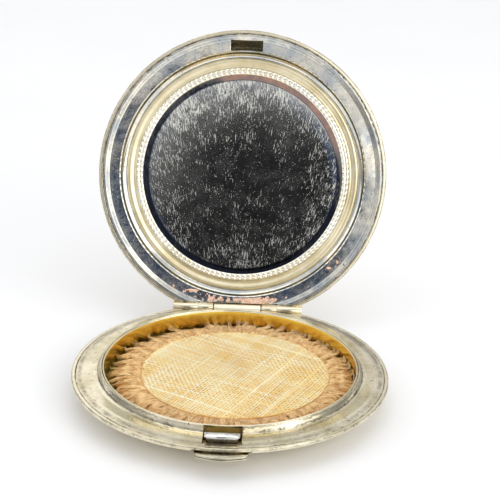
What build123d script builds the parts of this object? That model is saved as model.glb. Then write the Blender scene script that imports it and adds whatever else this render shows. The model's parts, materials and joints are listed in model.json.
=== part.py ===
"""Round silver powder compact, standing open on its hinge stop, in millimetres.

The origin is the centre of the flat underside, +Z is up, the thumb-piece is at -Y and the hinge at +Y.
The lid's pieces are drawn in the closed position, above the base, and are then swung open together.
Outlines are given as (radius, height) pairs and turned about the case's axis.
"""

from build123d import *
import math
import os

# Case halves: pressed sheet with a thick rolled rim. The base is a saucer, the lid a flat bowl.
CASE_R = 35.0
RIM_INNER_R = 34.1
RIM_ROUND = 0.25
SHEET = 0.5
LEDGE_R = 33.5
LEDGE_DROP = 0.43
LEDGE_THICK = 0.4
BASE_H = 6.0
BASE_EDGE_Z = 5.2
BASE_SLOPE_DEG = 28.5
BASE_BEND_R = 5.0
LID_RIM_Z = 6.1
LID_H = 5.1
LID_FLAT_R = 27.0
LID_SIDE_Z = 4.0
LID_CROWN = 0.3

# Inner frames: plates that close each half around its recess
PLATE = 0.4
FRAME_R = 34.0
FLANGE_R = 32.1
LID_BEVEL_R = (32.4, 33.45)
BASE_FLANGE_Z = 6.3
LID_FLANGE_Z = 6.45
COLLAR_TOP_Z = 7.5
RECESS_R = 29.7
RECESS_FLOOR_Z = 8.5
MIRROR_HOLE_R = 26.4

# Powder well and what lies in it
WELL_OUTER_R = 28.2
WELL_INNER_R = 27.8
WELL_TOP_Z = 7.6
SHELF_Z = 2.2
POWDER_WELL_R = 22.8
POWDER_FLOOR_Z = 0.75
PAN_R = 22.4
PAN_TOP_Z = 2.9
PAN_SHEET = 0.25
CAKE_TOP_Z = 2.7
FLEECE_R = 26.6
FLEECE_CENTRE = (0.8, 0.5)
FLEECE_BOTTOM_Z = 3.2
FLEECE_TOP_Z = 4.6
BACKING_R = 20.9
BACKING_CENTRE = (1.0, 1.0)
BACKING_THICK = 0.25

# Mirror, its milled bezel and the moulded ring around it
MIRROR_R = 25.6
MIRROR_FLAT_R = 23.0
MIRROR_FACE_Z = 8.0
MIRROR_EDGE_Z = 8.4
MIRROR_BACK_Z = 9.6
BEZEL_R = 26.0
MOULDING_INNER_R = 26.05
MOULDING_OUTER_R = 28.45
CARD_R = 26.0
CARD_THICK = 0.45

# Hinge: one base knuckle between two lid knuckles, on one pin
HINGE_Y = 32.76
HINGE_Z = 6.05
OPEN_DEG = 108.9
STOP_CLEARANCE_DEG = 0.8
KNUCKLE_R = 1.1
BORE_R = 0.55
PIN_R = 0.5
HINGE_HALF = 15.7
CENTRE_HALF = 5.75
KNUCKLE_GAP = 0.1
BLEND_HALF = 9.6
RELIEF_HALF = 15.85
RELIEF_FRONT = 1.31
RELIEF_DEPTH = 1.3
LEAF_THICK = 0.4

# Latch: thumb-piece, slide and catch move as one, in a guide hung under the base frame
NOTCH_HALF = 3.97
NOTCH_Y = (-32.9, -28.25)
SLOT_HALF = 3.9
SLOT_Y = (-32.5, -29.9)
THUMB_HALF = 5.45
THUMB_FRONT_Y = -36.9
THUMB_SIDE_Y = -35.9
THUMB_Z = (4.35, 5.25)
SLIDE_HALF = 4.6
SLIDE_Y = (-33.2, -30.0)
SLIDE_Z = (4.4, 5.0)
CATCH_HALF = 3.6
CATCH_NECK_HALF = 3.2
WINDOW_HALF = 6.0
WINDOW_BACK_Y = -31.8
WINDOW_Z = (4.2, 5.45)
GUIDE_Y = (-30.5, -28.4)
GUIDE_FLOOR_Z = (3.85, 4.25)
GUIDE_WALL_X = (4.7, 5.5)
SPRING_THICK = 0.15
SPRING_Z = (4.4, 5.2)

FLANGE_UNDER_Z = BASE_FLANGE_Z - PLATE
HINGE_AXIS = Axis((0, HINGE_Y, HINGE_Z), (1, 0, 0))


def turned(*edges):
    """A solid of revolution about the case's axis, from a closed (radius, height) outline."""
    return revolve(Plane.XZ * make_face(edges), Axis.Z)


def closed(*points):
    """The straight edges of a closed outline."""
    return Polyline(*points, close=True)


def block(x, y, z):
    """A box between (low, high) pairs."""
    centre = [(low + high) / 2 for low, high in (x, y, z)]
    return Pos(*centre) * Box(*[high - low for low, high in (x, y, z)])


def along_x(face, low, high):
    """A face drawn as (y, z), extruded from x = low to x = high."""
    return extrude(Plane.YZ.offset(low) * face, high - low)


def arc_on(centre, radius, start, end):
    """The shorter arc about a centre between two points at the given radius."""
    middle = Vector(*start) + Vector(*end) - 2 * Vector(*centre)
    point = Vector(*centre) + middle.normalized() * radius
    return ThreePointArc(start, (point.X, point.Y), end)


def bowl_line(offset, high_r, crown=0.0):
    """The lid bowl's section, offset inwards from its outside: a flat, then a rounded corner."""
    corner = ((CASE_R - LID_FLAT_R) ** 2 + LID_SIDE_Z**2) / (2 * LID_SIDE_Z)
    radius = corner - offset
    high = (high_r, corner - math.sqrt(radius**2 - (high_r - LID_FLAT_R) ** 2))
    flat = Line((0, offset - crown), (LID_FLAT_R, offset))
    return [flat, arc_on((LID_FLAT_R, corner), radius, (LID_FLAT_R, offset), high)], high


def saucer_line(offset, high_r):
    """The base's section, offset inwards from its outside: a flat, a bend and a sloping side."""
    slope = math.radians(BASE_SLOPE_DEG)
    foot_r = CASE_R - BASE_EDGE_Z / math.tan(slope)
    flat_r = foot_r - BASE_BEND_R * math.tan(slope / 2)
    radius = BASE_BEND_R - offset
    bend = (flat_r + radius * math.sin(slope), BASE_BEND_R - radius * math.cos(slope))
    high = (high_r, (high_r - foot_r) * math.tan(slope) + offset / math.cos(slope))
    arc = arc_on((flat_r, BASE_BEND_R), radius, (flat_r, offset), bend)
    return [Line((0, offset), (flat_r, offset)), arc, Line(bend, high)], high


def rim(height, outer_low, *inner):
    """The rolled rim, from the inside of the wall round to its outside."""
    return [
        Polyline(*inner, (RIM_INNER_R, height), (CASE_R - RIM_ROUND, height)),
        RadiusArc((CASE_R - RIM_ROUND, height), (CASE_R, height - RIM_ROUND), RIM_ROUND),
        Line((CASE_R, height - RIM_ROUND), outer_low),
    ]


def saucer():
    """The base's pressed shell, which stands on its flat, with a ledge for the frame inside its rim."""
    outside, edge = saucer_line(0, CASE_R)
    inside, foot = saucer_line(SHEET, LEDGE_R)
    ledge = BASE_H - LEDGE_DROP
    wall = rim(BASE_H, edge, foot, (LEDGE_R, ledge), (RIM_INNER_R, ledge))
    return turned(*inside, *wall, *outside, Line((0, 0), (0, SHEET)))


def bowl():
    """The lid's pressed shell, drawn standing on its flat, with a ledge for the frame inside its rim."""
    outside, edge = bowl_line(0, CASE_R, LID_CROWN)
    inside, foot = bowl_line(SHEET, RIM_INNER_R, LID_CROWN)
    ledge = LID_H - LEDGE_DROP
    under = ledge - LEDGE_THICK
    inner = (foot, (RIM_INNER_R, under), (LEDGE_R, under), (LEDGE_R, ledge), (RIM_INNER_R, ledge))
    wall = rim(LID_H, edge, *inner)
    return turned(*inside, *wall, *outside, Line((0, -LID_CROWN), (0, SHEET - LID_CROWN)))


def hinge_relief(sign):
    """The space that the knuckles turn in: sign is -1 in the base and +1 in the lid.

    Behind the pin it is cut on a plane, so that the two walls meet there when the lid is fully open.
    """
    slope = math.radians(OPEN_DEG / 2 + STOP_CLEARANCE_DEG)
    reach = 8.0
    corners = [
        (-RELIEF_FRONT, -sign * reach),
        (-RELIEF_FRONT, sign * RELIEF_DEPTH),
        (RELIEF_DEPTH / math.tan(slope), sign * RELIEF_DEPTH),
        (reach, sign * reach * math.tan(slope)),
        (reach, -sign * reach),
    ]
    outline = closed(*[(HINGE_Y + y, HINGE_Z + z) for y, z in corners])
    return along_x(make_face(outline), -RELIEF_HALF, RELIEF_HALF)


def base_shell():
    window = block((-WINDOW_HALF, WINDOW_HALF), (THUMB_FRONT_Y, WINDOW_BACK_Y), WINDOW_Z)
    return saucer() - window - hinge_relief(-1)


def base_frame():
    """The flange inside the rim and the raised collar round the well, notched for the catch."""
    ring = turned(
        Polyline(
            (28.3, COLLAR_TOP_Z),
            (28.78, BASE_FLANGE_Z + 0.15),
            (28.9, FLANGE_UNDER_Z),
            (FLANGE_R + 0.1, FLANGE_UNDER_Z),
            (FRAME_R, BASE_H - LEDGE_DROP),
            (FRAME_R, BASE_H - 0.03),
            (FLANGE_R, BASE_FLANGE_Z),
            (29.5, BASE_FLANGE_Z),
            (29.2, BASE_FLANGE_Z + 0.15),
            (28.72, COLLAR_TOP_Z),
        ),
        ThreePointArc((28.72, COLLAR_TOP_Z), (28.51, COLLAR_TOP_Z + 0.17), (28.3, COLLAR_TOP_Z)),
    )
    notch = block((-NOTCH_HALF, NOTCH_HALF), NOTCH_Y, (4.0, 9.0))
    return ring - notch - hinge_relief(-1)


def cup_line(offset, lip_z):
    """The well's section: the powder's round hollow, a shelf for the puff and the side up to the lip."""
    step_r, side_r = POWDER_WELL_R + PLATE - offset, WELL_OUTER_R - offset
    hollow_r, shelf_r, bend = POWDER_WELL_R - 0.6, WELL_INNER_R - 0.6, 0.6 + PLATE - offset
    floor, shelf = POWDER_FLOOR_Z + offset, SHELF_Z + offset
    return [
        Line((0, floor), (hollow_r, floor)),
        arc_on((hollow_r, floor + bend), bend, (hollow_r, floor), (step_r, floor + bend)),
        Polyline((step_r, floor + bend), (step_r, shelf), (shelf_r, shelf)),
        arc_on((shelf_r, shelf + bend), bend, (shelf_r, shelf), (side_r, shelf + bend)),
        Line((side_r, shelf + bend), (side_r, lip_z)),
    ]


def well_liner():
    """The gilt cup that holds the powder and the puff, with a rounded lip just under the collar's top."""
    lip = PLATE / 2
    lip_z = WELL_TOP_Z - lip
    over = ThreePointArc((WELL_OUTER_R, lip_z), (WELL_OUTER_R - lip, WELL_TOP_Z), (WELL_INNER_R, lip_z))
    axis = Line((0, POWDER_FLOOR_Z), (0, POWDER_FLOOR_Z + PLATE))
    return turned(*cup_line(0, lip_z), over, *cup_line(PLATE, lip_z), axis)


def powder_pan():
    """The shallow tin that the pressed powder is sold in, resting on the floor of its hollow."""
    floor = POWDER_FLOOR_Z + PLATE
    taper = 0.8
    return turned(
        closed(
            (0, floor),
            (PAN_R - taper, floor),
            (PAN_R, floor + taper),
            (PAN_R, PAN_TOP_Z),
            (PAN_R - PAN_SHEET, PAN_TOP_Z),
            (PAN_R - PAN_SHEET, floor + taper),
            (PAN_R - taper - PAN_SHEET / 2, floor + PAN_SHEET),
            (0, floor + PAN_SHEET),
        )
    )


def powder_cake():
    floor = POWDER_FLOOR_Z + PLATE + PAN_SHEET
    return Pos(0, 0, floor) * Cylinder(
        PAN_R - 1.1, CAKE_TOP_Z - floor, align=(Align.CENTER, Align.CENTER, Align.MIN)
    )


def puff_fleece():
    disc = Pos(*FLEECE_CENTRE, FLEECE_BOTTOM_Z) * Cylinder(
        FLEECE_R, FLEECE_TOP_Z - FLEECE_BOTTOM_Z, align=(Align.CENTER, Align.CENTER, Align.MIN)
    )
    return fillet(disc.edges().filter_by(GeomType.CIRCLE), 0.6)


def puff_backing():
    return Pos(*BACKING_CENTRE, FLEECE_TOP_Z) * Cylinder(
        BACKING_R, BACKING_THICK, align=(Align.CENTER, Align.CENTER, Align.MIN)
    )


def thumb_piece():
    """The tab under the rim: a bowed front edge, rounded at its corners and top."""
    y = SLIDE_Y[0]
    left, right = (-THUMB_HALF, THUMB_SIDE_Y), (THUMB_HALF, THUMB_SIDE_Y)
    outline = make_face(
        [
            Polyline(right, (THUMB_HALF, y), (-THUMB_HALF, y), left),
            ThreePointArc(left, (0, THUMB_FRONT_Y), right),
        ]
    )
    outline = fillet(outline.vertices().group_by(Axis.Y)[0], 1.5)
    tab = extrude(Plane.XY.offset(THUMB_Z[0]) * outline, THUMB_Z[1] - THUMB_Z[0])
    front = [e for e in tab.edges().group_by(Axis.Z)[-1] if e.center().Y < y - 0.5]
    return fillet(front, 0.3)


def latch_slide():
    return block((-SLIDE_HALF, SLIDE_HALF), SLIDE_Y, SLIDE_Z)


def catch_hook():
    """The upright catch: a neck on the slide and a rounded head that hooks over the lid frame's slot."""
    neck = block((-CATCH_NECK_HALF, CATCH_NECK_HALF), (-31.9, -31.2), (SLIDE_Z[1], 6.95))
    side = make_face(
        [
            Polyline((-31.1, 7.45), (-31.1, 6.95), (-32.75, 6.95)),
            ThreePointArc((-32.75, 6.95), (-32.95, 7.25), (-32.15, 7.85)),
            Line((-32.15, 7.85), (-31.45, 7.85)),
            ThreePointArc((-31.45, 7.85), (-31.2, 7.72), (-31.1, 7.45)),
        ]
    )
    head = along_x(side, -CATCH_HALF, CATCH_HALF)
    outline = Pos(0, 7.4) * Rectangle(2 * CATCH_HALF, 0.9)
    outline = fillet(outline.vertices().group_by(Axis.Y)[-1], 0.6)
    return neck + (head & extrude(Plane.XZ.offset(31.0) * outline, 3.0))


def latch_guide():
    """A channel hung under the base frame, which the slide runs in."""
    floor = block((-GUIDE_WALL_X[1], GUIDE_WALL_X[1]), GUIDE_Y, GUIDE_FLOOR_Z)
    height = (GUIDE_FLOOR_Z[0], FLANGE_UNDER_Z)
    walls = [block(sorted(side * x for x in GUIDE_WALL_X), GUIDE_Y, height) for side in (-1, 1)]
    return floor + walls


def latch_spring():
    """A bowed leaf spring between the well's wall and the back of the slide."""
    half, ends_y, middle_y = 4.0, -28.15, -29.8
    front_ends_y, front_middle_y = ends_y - SPRING_THICK, middle_y - SPRING_THICK
    bow = make_face(
        [
            ThreePointArc((-half, ends_y), (0, middle_y), (half, ends_y)),
            Line((half, ends_y), (half, front_ends_y)),
            ThreePointArc((half, front_ends_y), (0, front_middle_y), (-half, front_ends_y)),
            Line((-half, front_ends_y), (-half, ends_y)),
        ]
    )
    return extrude(Plane.XY.offset(SPRING_Z[0]) * bow, SPRING_Z[1] - SPRING_Z[0])


def barrel(low, high, *webs):
    """A bored hinge barrel from x = low to x = high, with webs given as (y, z) outlines."""
    tube = along_x(Pos(HINGE_Y, HINGE_Z) * Circle(KNUCKLE_R), low, high)
    for start, end, outline in webs:
        tube += along_x(make_face(closed(*outline)), start, end)
    return tube - along_x(Pos(HINGE_Y, HINGE_Z) * Circle(BORE_R), low - 1, high + 1)


def on_barrel(degrees):
    """A point on the barrel's surface, by its angle about the pin from +Y towards +Z."""
    angle = math.radians(degrees)
    return (HINGE_Y + KNUCKLE_R * math.cos(angle), HINGE_Z + KNUCKLE_R * math.sin(angle))


def hinge_knuckle_base():
    """The middle knuckle, whose web slopes up from the flange to the top of the barrel."""
    front = HINGE_Y - RELIEF_FRONT
    web = [
        (front, HINGE_Z - 0.7),
        (front, BASE_FLANGE_Z),
        on_barrel(118),
        (HINGE_Y - BORE_R, HINGE_Z),
        on_barrel(220),
    ]
    return barrel(-CENTRE_HALF, CENTRE_HALF, (-CENTRE_HALF, CENTRE_HALF, web))


def hinge_knuckle_lid(side):
    """An outer knuckle: a web behind the flange all along, and a blend before it near the middle."""
    front = HINGE_Y - RELIEF_FRONT
    inner = CENTRE_HALF + KNUCKLE_GAP
    web = [
        (front, HINGE_Z + 0.95),
        (front, LID_FLANGE_Z),
        on_barrel(165),
        (HINGE_Y - BORE_R, HINGE_Z),
        on_barrel(120),
    ]
    blend = [(front, LID_FLANGE_Z), on_barrel(238), (HINGE_Y - BORE_R, HINGE_Z), on_barrel(150)]
    spans = [sorted((side * inner, side * end)) for end in (HINGE_HALF, BLEND_HALF)]
    return barrel(*spans[0], (*spans[0], web), (*spans[1], blend))


def hinge_pin():
    return along_x(Pos(HINGE_Y, HINGE_Z) * Circle(PIN_R), -HINGE_HALF + 0.05, HINGE_HALF - 0.05)


def hinge_leaf(high, section):
    """The plate that closes the wall behind the knuckles, trimmed to the inside of its case half."""
    gap = 0.03
    line, low = section(SHEET + gap, LEDGE_R - gap)
    top = max(BASE_H, LID_H)
    inside = turned(*line, Polyline(low, (low[0], top), (0, top)), Line((0, top), (0, SHEET + gap)))
    front = HINGE_Y - RELIEF_FRONT
    plate = block((-RELIEF_HALF, RELIEF_HALF), (front - LEAF_THICK, front), (0, high))
    return plate & inside


def hinge_leaf_base():
    return hinge_leaf(FLANGE_UNDER_Z, saucer_line) - base_frame()


def lid_turned_over(shape):
    """Turns a shape over on to the base, so that its rim lies at the closed lid's rim height."""
    return Pos(0, 0, LID_RIM_Z + LID_H) * Rot(180, 0, 0) * shape


def hinge_leaf_lid():
    leaf = hinge_leaf(LID_RIM_Z + LID_H - LID_FLANGE_Z - PLATE, bowl_line)
    return lid_turned_over(mirror(leaf, Plane.XZ)) - lid_frame()


def lid_shell():
    return lid_turned_over(bowl()) - hinge_relief(1)


def lid_frame():
    """The lid's flange and the recess that drops over the base's collar, with a slot for the catch."""
    back = LID_FLANGE_Z + PLATE
    ring = turned(
        ThreePointArc((30.15, LID_FLANGE_Z), (29.84, LID_FLANGE_Z + 0.11), (RECESS_R, back)),
        Polyline(
            (RECESS_R, back),
            (29.45, RECESS_FLOOR_Z - 0.2),
            (29.2, RECESS_FLOOR_Z),
            (MIRROR_HOLE_R, RECESS_FLOOR_Z),
            (MIRROR_HOLE_R, RECESS_FLOOR_Z + PLATE),
            (29.4, RECESS_FLOOR_Z + PLATE),
            (29.85, RECESS_FLOOR_Z),
            (30.1, back),
            (LID_BEVEL_R[0] + 0.05, back),
            (LID_BEVEL_R[1] - 0.05, LID_RIM_Z + LEDGE_DROP),
            (FRAME_R, LID_RIM_Z + LEDGE_DROP),
            (FRAME_R, LID_RIM_Z + 0.03),
            (LID_BEVEL_R[1], LID_RIM_Z + 0.03),
            (LID_BEVEL_R[0], LID_FLANGE_Z),
            (30.15, LID_FLANGE_Z),
        ),
    )
    slot = block((-SLOT_HALF, SLOT_HALF), SLOT_Y, (LID_FLANGE_Z - 1, back + 0.02))
    return ring - slot - hinge_relief(1)


def mirror_frame():
    """The gilt moulding round the mirror: a bead outside and a valley inside it."""
    return turned(
        ThreePointArc((MOULDING_OUTER_R, 8.25), (27.95, 7.83), (27.35, 8.02)),
        ThreePointArc((27.35, 8.02), (26.85, 8.17), (26.4, 8.02)),
        Polyline(
            (26.4, 8.02),
            (MOULDING_INNER_R, 7.9),
            (MOULDING_INNER_R, RECESS_FLOOR_Z),
            (MOULDING_OUTER_R, RECESS_FLOOR_Z),
            (MOULDING_OUTER_R, 8.25),
        ),
    )


def mirror_bezel():
    """The milled ring that grips the mirror's bevelled edge."""
    return turned(
        ThreePointArc((BEZEL_R, 7.95), (25.65, 7.68), (25.2, 7.9)),
        Polyline(
            (25.2, 7.9),
            (24.95, 8.26),
            (25.65, 8.37),
            (25.65, MIRROR_BACK_Z),
            (BEZEL_R, MIRROR_BACK_Z),
            (BEZEL_R, 7.95),
        ),
    )


def mirror_glass():
    return turned(
        closed(
            (0, MIRROR_FACE_Z),
            (MIRROR_FLAT_R, MIRROR_FACE_Z),
            (MIRROR_R, MIRROR_EDGE_Z),
            (MIRROR_R, MIRROR_BACK_Z),
            (0, MIRROR_BACK_Z),
        )
    )


def mirror_card():
    return Pos(0, 0, MIRROR_BACK_Z) * Cylinder(
        CARD_R, CARD_THICK, align=(Align.CENTER, Align.CENTER, Align.MIN)
    )


BASE_PIECES = {
    "base_shell": base_shell,
    "base_frame": base_frame,
    "well_liner": well_liner,
    "powder_pan": powder_pan,
    "powder_cake": powder_cake,
    "puff_fleece": puff_fleece,
    "puff_backing": puff_backing,
    "thumb_piece": thumb_piece,
    "latch_slide": latch_slide,
    "catch_hook": catch_hook,
    "latch_guide": latch_guide,
    "latch_spring": latch_spring,
    "hinge_knuckle_base": hinge_knuckle_base,
    "hinge_leaf_base": hinge_leaf_base,
    "hinge_pin": hinge_pin,
}
LID_PIECES = {
    "lid_shell": lid_shell,
    "lid_frame": lid_frame,
    "hinge_knuckle_lid_left": lambda: hinge_knuckle_lid(-1),
    "hinge_knuckle_lid_right": lambda: hinge_knuckle_lid(1),
    "hinge_leaf_lid": hinge_leaf_lid,
    "mirror_frame": mirror_frame,
    "mirror_bezel": mirror_bezel,
    "mirror_glass": mirror_glass,
    "mirror_card": mirror_card,
}


def write_parts():
    os.makedirs("parts", exist_ok=True)
    for name, make in BASE_PIECES.items():
        export_step(make(), f"parts/{name}.step")
    for name, make in LID_PIECES.items():
        export_step(make().rotate(HINGE_AXIS, -OPEN_DEG), f"parts/{name}.step")


write_parts()
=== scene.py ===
"""Looks of a round silver powder compact, standing open: Blender 4.5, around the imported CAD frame.

Outlines are (radius, height) in mm about the case's axis, and lid pieces are drawn in the closed lid's
place, then swung open by their object's matrix, so that their own coordinates stay on the axis.
"""

import json
import math

import bmesh
import bpy
import numpy as np
from mathutils import Matrix, Vector, noise


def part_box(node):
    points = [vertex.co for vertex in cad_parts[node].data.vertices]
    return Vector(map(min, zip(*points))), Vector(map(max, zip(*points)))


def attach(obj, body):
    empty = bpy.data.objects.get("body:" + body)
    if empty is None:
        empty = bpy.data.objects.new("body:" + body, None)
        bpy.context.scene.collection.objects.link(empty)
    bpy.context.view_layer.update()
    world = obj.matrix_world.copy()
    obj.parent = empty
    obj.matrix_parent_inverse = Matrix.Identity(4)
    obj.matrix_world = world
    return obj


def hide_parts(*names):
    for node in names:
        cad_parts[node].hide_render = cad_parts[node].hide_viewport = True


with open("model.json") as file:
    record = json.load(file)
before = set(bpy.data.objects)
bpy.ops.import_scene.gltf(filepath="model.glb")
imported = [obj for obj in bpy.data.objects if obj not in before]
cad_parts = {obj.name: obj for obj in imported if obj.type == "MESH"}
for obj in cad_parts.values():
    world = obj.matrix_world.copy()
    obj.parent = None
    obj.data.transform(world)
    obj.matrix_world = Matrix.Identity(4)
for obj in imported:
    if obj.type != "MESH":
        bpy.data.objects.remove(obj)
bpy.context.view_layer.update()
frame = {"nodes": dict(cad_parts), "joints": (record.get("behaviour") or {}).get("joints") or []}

MM = 0.001
TAU = 2 * math.pi
SCENE = bpy.context.scene

# Thickness of the shells and of the plates that line them, in mm
SHEET = 0.5
PLATE = 0.4

# Driving sizes, read from the frame, in mm
SHELL_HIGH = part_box("base_shell")[1] / MM
CASE_R = SHELL_HIGH.x
BASE_RIM = SHELL_HIGH.z
LINER_LOW, LINER_HIGH = (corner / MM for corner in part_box("well_liner"))
WELL_R = LINER_HIGH.x - PLATE
WELL_TOP = LINER_HIGH.z
FLEECE_LOW, FLEECE_HIGH = (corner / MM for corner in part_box("puff_fleece"))
FLEECE_CENTRE = (FLEECE_LOW + FLEECE_HIGH) / 2
FLEECE_R = (FLEECE_HIGH.x - FLEECE_LOW.x) / 2
CLOTH_LOW, CLOTH_HIGH = (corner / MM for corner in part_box("puff_backing"))
CLOTH_CENTRE = (CLOTH_LOW + CLOTH_HIGH) / 2
CLOTH_R = (CLOTH_HIGH.x - CLOTH_LOW.x) / 2
THUMB_LOW, THUMB_HIGH = (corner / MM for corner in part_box("thumb_piece"))
CATCH_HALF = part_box("catch_hook")[1].x / MM

JOINTS = {joint["name"]: joint for joint in frame["joints"]}
LID_HINGE = JOINTS["lid_hinge"]
HINGE = Vector(LID_HINGE["pos_m"]) / MM
OPEN_TURN = math.radians(LID_HINGE["range_deg"][1])
OPEN_LID = (
    Matrix.Translation(HINGE * MM)
    @ Matrix.Rotation(-OPEN_TURN, 4, Vector(LID_HINGE["axis"]))
    @ Matrix.Translation(-HINGE * MM)
)

# Heights and widths that several pieces share, in mm
LID_RIM = BASE_RIM + 0.1
LID_TOP = LID_RIM + 5.1
BASE_FLANGE = BASE_RIM + 0.3
LID_FLANGE = LID_RIM + 0.35
RIM_INNER_R = CASE_R - 0.9
FRAME_R = CASE_R - 1.0
LEDGE_R = CASE_R - 1.5
LEDGE_DROP = 0.43
BEZEL_R = 26.0
MIRROR_R = 25.6
MIRROR_FLAT_R = 23.0
MIRROR_BACK = 9.6
NOTCH_HALF = 3.97
SLOT_HALF = 3.9
INNER_SIDE_Z = (5.3, 8.1)
KNUCKLE_R = 1.1
BORE_R = 0.55
HINGE_HALF = 15.7
CENTRE_HALF = 5.75
BLEND_HALF = 9.6
RELIEF_HALF = 15.85
RELIEF_FRONT = HINGE.y - 1.31
TEETH = 124
SEGMENTS = 512


# ---------------------------------------------------------------- mesh helpers


def new_object(name, verts, faces):
    """A mesh object from points in mm."""
    mesh = bpy.data.meshes.new(name)
    points = np.asarray(verts, dtype=float) * MM
    mesh.from_pydata(points.tolist(), [], faces)
    mesh.validate()
    obj = bpy.data.objects.new(name, mesh)
    SCENE.collection.objects.link(obj)
    return obj


def face_outwards(obj):
    shape = bmesh.new()
    shape.from_mesh(obj.data)
    bmesh.ops.recalc_face_normals(shape, faces=shape.faces)
    shape.to_mesh(obj.data)
    shape.free()


def arc(centre, radius, start, end, steps):
    """Points on an arc, with its angles in degrees."""
    angles = [math.radians(start + (end - start) * i / steps) for i in range(steps + 1)]
    return [(centre[0] + radius * math.cos(a), centre[1] + radius * math.sin(a)) for a in angles]


def bow(start, middle, end, steps):
    """Points of a smooth bow from start to end, which passes through middle."""
    control = [2 * m - (s + e) / 2 for s, m, e in zip(start, middle, end)]
    points = []
    for i in range(steps + 1):
        t = i / steps
        weights = ((1 - t) ** 2, 2 * t * (1 - t), t * t)
        points.append(tuple(
            weights[0] * s + weights[1] * c + weights[2] * e for s, c, e in zip(start, control, end)
        ))
    return points


def eased(outline, radius, steps=3, closed=True):
    """The outline with each of its sharp corners rounded."""
    points = [Vector(p) for p in outline]
    count = len(points)
    result = []
    for i, point in enumerate(points):
        before, after = points[i - 1], points[(i + 1) % count]
        a, b = before - point, after - point
        loose_end = not closed and i in (0, count - 1)
        bend = 0.0 if loose_end or min(a.length, b.length) < 1e-6 else math.pi - a.angle(b)
        # Short edges belong to an arc or a bow, which stays as it is
        least = 6 if min(a.length, b.length) > 0.3 else 22
        if bend < math.radians(least):
            result.append(tuple(point))
            continue
        reach = min(radius, 0.42 * a.length, 0.42 * b.length)
        start, end = point + a.normalized() * reach, point + b.normalized() * reach
        if a.length > 4 * reach:
            result.append(tuple(start + a.normalized() * 0.5 * reach))
        for k in range(steps + 1):
            t = k / steps
            result.append(tuple((1 - t) ** 2 * start + 2 * t * (1 - t) * point + t * t * end))
        if b.length > 4 * reach:
            result.append(tuple(end + b.normalized() * 0.5 * reach))
    return result


def refined(outline, longest, closed):
    """The outline with its long edges divided."""
    result = []
    pairs = list(zip(outline, outline[1:] + outline[:1]))
    for start, end in pairs if closed else pairs[:-1]:
        parts = max(1, math.ceil(math.dist(start, end) / longest))
        for k in range(parts):
            result.append(tuple(s + (e - s) * k / parts for s, e in zip(start, end)))
    if not closed:
        result.append(outline[-1])
    return result


def bands(rings, count, closed=False):
    """Quads between rings of count points each, and from the last ring to the first when closed."""
    faces = []
    for i in range(rings if closed else rings - 1):
        near, far = i * count, (i + 1) % rings * count
        for j in range(count):
            k = (j + 1) % count
            faces.append((near + j, near + k, far + k, far + j))
    return faces


def spun(name, outline, relief=None, segments=SEGMENTS, ease=0.06, longest=1.2):
    """A solid of revolution about the case's axis. relief(r, z, angle) gives changes to r and z."""
    on_axis = outline[0][0] == 0 and outline[-1][0] == 0
    points = refined(eased(outline, ease, closed=not on_axis), longest, closed=not on_axis)
    rings = points[1:-1] if on_axis else points
    angle = np.arange(segments) * TAU / segments
    radius = np.repeat(np.array([p[0] for p in rings])[:, None], segments, axis=1)
    height = np.repeat(np.array([p[1] for p in rings])[:, None], segments, axis=1)
    turn = np.repeat(angle[None, :], len(rings), axis=0)
    if relief:
        change_r, change_z = relief(radius, height, turn)
        radius, height = radius + change_r, height + change_z
    verts = np.stack([radius * np.cos(turn), radius * np.sin(turn), height], axis=-1).reshape(-1, 3)
    faces = bands(len(rings), segments, closed=not on_axis)
    if on_axis:
        first, last = len(verts), len(verts) + 1
        verts = np.vstack([verts, [(0, 0, points[0][1]), (0, 0, points[-1][1])]])
        end = (len(rings) - 1) * segments
        for j in range(segments):
            k = (j + 1) % segments
            faces.append((first, k, j))
            faces.append((last, end + j, end + k))
    obj = new_object(name, verts, faces)
    face_outwards(obj)
    return obj


def prism(name, outline, low, high, axis="x"):
    """A solid with a flat outline, drawn as (y, z) along x, or (x, y) along z."""
    place = {"x": lambda p, at: (at, p[0], p[1]), "z": lambda p, at: (p[0], p[1], at)}[axis]
    count = len(outline)
    verts = [place(p, at) for at in (low, high) for p in outline]
    faces = [tuple(range(count)), tuple(range(2 * count - 1, count - 1, -1))]
    faces += [(i, (i + 1) % count, count + (i + 1) % count, count + i) for i in range(count)]
    obj = new_object(name, verts, faces)
    face_outwards(obj)
    return obj


def box_of(name, x, y, z):
    corners = [(x[0], y[0]), (x[1], y[0]), (x[1], y[1]), (x[0], y[1])]
    return prism(name, corners, z[0], z[1], axis="z")


def applied(obj, *modifiers):
    """Adds modifiers, given as (kind, settings), and applies them."""
    for kind, settings in modifiers:
        modifier = obj.modifiers.new(kind.lower(), kind)
        for key, value in settings.items():
            setattr(modifier, key, value)
    bpy.context.view_layer.update()
    evaluated = obj.evaluated_get(bpy.context.evaluated_depsgraph_get())
    mesh = bpy.data.meshes.new_from_object(evaluated)
    obj.modifiers.clear()
    old = obj.data
    obj.data = mesh
    bpy.data.meshes.remove(old)
    mesh.name = obj.name
    return obj


def edge_break(width, segments, angle=38):
    return ("BEVEL", {
        "width": width * MM,
        "segments": segments,
        "limit_method": "ANGLE",
        "angle_limit": math.radians(angle),
        "use_clamp_overlap": False,
        "harden_normals": False,
    })


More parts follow.
